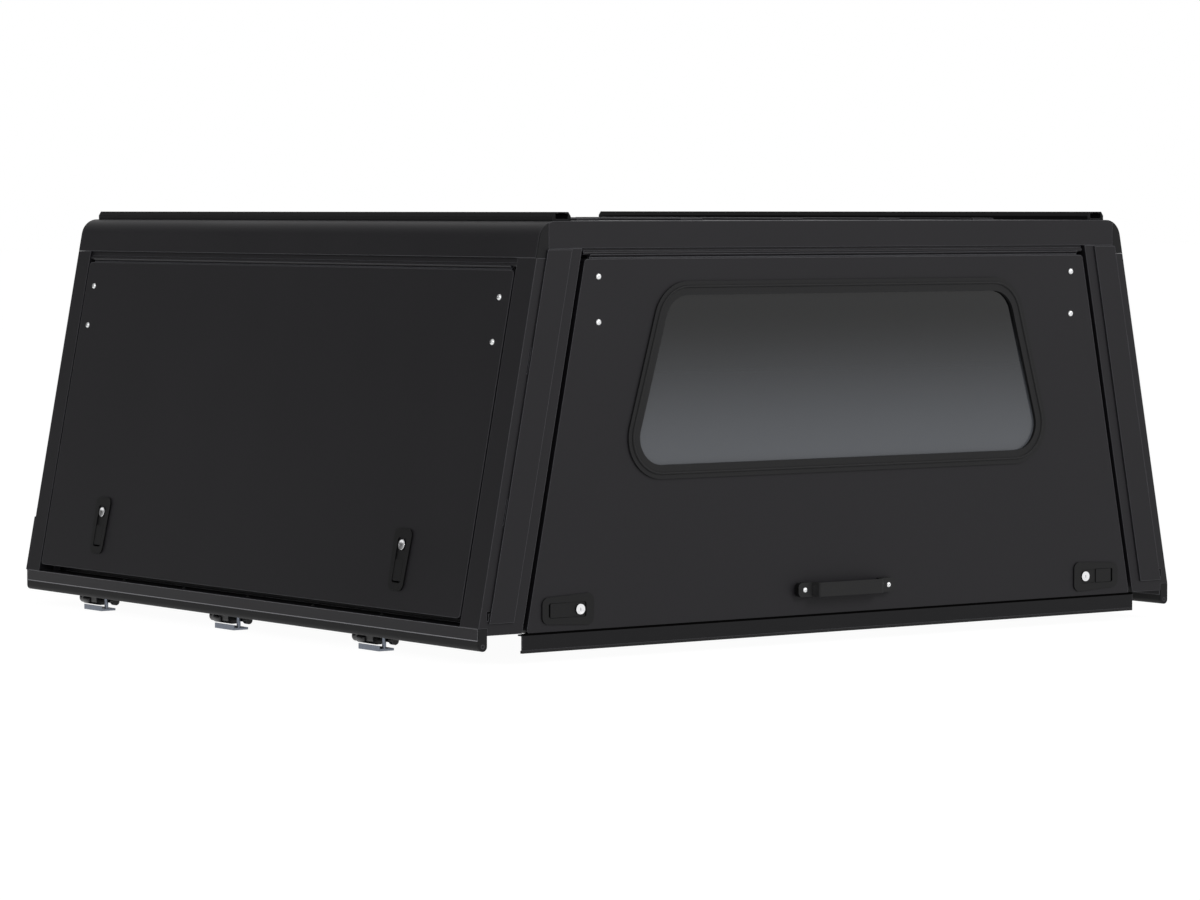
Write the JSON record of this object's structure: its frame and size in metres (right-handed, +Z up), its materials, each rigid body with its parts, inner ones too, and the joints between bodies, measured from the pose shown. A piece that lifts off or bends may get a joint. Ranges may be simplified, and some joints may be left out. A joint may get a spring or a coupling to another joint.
{
  "type": "truck canopy",
  "caption": "Pickup bed canopy with leaning side walls, lift-up side doors, a windowed rear door on gas struts, roof tracks and clamps below.",
  "frame": {"origin": "on the floor under the middle of the whole canopy, which stands on the jaws of its clamps", "axes": "+X to the vehicle's right, +Y to its front, +Z up; the rear door faces -Y"},
  "size_m": [1.5, 1.5096, 0.7275],
  "materials": {
    "coated_sheet": "fine satin powder coat",
    "coated_profile": "satin powder coat",
    "tinted_glass": "tinted safety glass",
    "rubber": "smooth black rubber",
    "foam": "closed foam",
    "latch": "satin black",
    "handle": "satin black",
    "zinc": "zinc plated",
    "strut_tube": "gloss black",
    "strut_rod": "polished",
    "bracket": "satin black",
    "cap": "moulded"
  },
  "bodies": {
    "canopy": {"rear_post_left": "coated_sheet", "rear_post_right": "coated_sheet", "front_post_left": "coated_sheet", "front_post_right": "coated_sheet", "post_covers": "coated_sheet", "base_rail_left": "coated_profile", "base_rail_right": "coated_profile", "rail_seals": "rubber", "rail_caps": "cap", "roof_profile_left": "coated_profile", "roof_profile_right": "coated_profile", "roof_caps": "cap", "rear_header": "coated_sheet", "front_header": "coated_sheet", "roof_panel": "coated_sheet", "roof_bows": "coated_sheet", "roof_track_left": "coated_profile", "roof_track_right": "coated_profile", "side_hinge_rails": "coated_profile", "rear_hinge_rail": "coated_profile", "front_panel": "coated_sheet", "front_window_rubber": "rubber", "front_window_glass": "tinted_glass", "front_seal": "foam", "door_seals": "rubber", "strut_anchors": "bracket", "clamp_brackets": "bracket", "clamp_jaws": "zinc"},
    "side_door_left": {"side_door_left": "coated_sheet", "side_hinge_leaf_left": "coated_profile", "side_latches_left": "latch", "side_strut_brackets_left": "bracket"},
    "side_door_right": {"side_door_right": "coated_sheet", "side_hinge_leaf_right": "coated_profile", "side_latches_right": "latch", "side_strut_brackets_right": "bracket"},
    "rear_door": {"rear_door": "coated_sheet", "rear_window_rubber": "rubber", "rear_window_glass": "tinted_glass", "rear_handle": "handle", "rear_latches": "latch", "rear_lip": "coated_sheet", "rear_lip_seal": "rubber", "rear_hinge_leaf": "coated_profile", "rear_strut_brackets": "bracket"},
    "side_cylinders_left": {"side_strut_cylinders_left": "strut_tube"},
    "side_rods_left": {"side_strut_rods_left": "strut_rod"},
    "side_cylinders_right": {"side_strut_cylinders_right": "strut_tube"},
    "side_rods_right": {"side_strut_rods_right": "strut_rod"},
    "rear_cylinders": {"rear_strut_cylinders": "strut_tube"},
    "rear_rods": {"rear_strut_rods": "strut_rod"}
  },
  "joints": [
    {"name": "side_door_left", "type": "hinge", "parent": "canopy", "child": "side_door_left", "pos_m": [-0.63175, 0.01425, 0.64159], "axis": [0, 1, 0], "range_deg": [0, 80]},
    {"name": "side_door_right", "type": "hinge", "parent": "canopy", "child": "side_door_right", "pos_m": [0.63175, 0.01425, 0.64159], "axis": [0, -1, 0], "range_deg": [0, 80]},
    {"name": "rear_door", "type": "hinge", "parent": "canopy", "child": "rear_door", "pos_m": [0, -0.72475, 0.661], "axis": [-1, 0, 0], "range_deg": [0, 80]},
    {"name": "side_strut_left_swing", "type": "hinge", "parent": "canopy", "child": "side_cylinders_left", "pos_m": [-0.65275, 0.01425, 0.23823], "axis": [0, -1, 0], "range_deg": [0, 22.01]},
    {"name": "side_strut_left_slide", "type": "slide", "parent": "side_cylinders_left", "child": "side_rods_left", "axis": [0.1772, 0, 0.9842], "range_m": [0, 0.0525]},
    {"name": "side_strut_right_swing", "type": "hinge", "parent": "canopy", "child": "side_cylinders_right", "pos_m": [0.65275, 0.01425, 0.23823], "axis": [0, 1, 0], "range_deg": [0, 22.01]},
    {"name": "side_strut_right_slide", "type": "slide", "parent": "side_cylinders_right", "child": "side_rods_right", "axis": [-0.1772, 0, 0.9842], "range_m": [0, 0.0525]},
    {"name": "rear_strut_swing", "type": "hinge", "parent": "canopy", "child": "rear_cylinders", "pos_m": [0, -0.66875, 0.261], "axis": [1, 0, 0], "range_deg": [0, 22.01]},
    {"name": "rear_strut_slide", "type": "slide", "parent": "rear_cylinders", "child": "rear_rods", "axis": [0, -0.013, 0.9999], "range_m": [0, 0.0525]}
  ],
  "couplings": [
    {"joint": "side_strut_left_swing", "follows": "side_door_left", "ratio": 0.27143},
    {"joint": "side_strut_left_slide", "follows": "side_door_left", "m_per_rad": 0.037315},
    {"joint": "side_strut_right_swing", "follows": "side_door_right", "ratio": 0.27143},
    {"joint": "side_strut_right_slide", "follows": "side_door_right", "m_per_rad": 0.037315},
    {"joint": "rear_strut_swing", "follows": "rear_door", "ratio": 0.27143},
    {"joint": "rear_strut_slide", "follows": "rear_door", "m_per_rad": 0.037315}
  ]
}
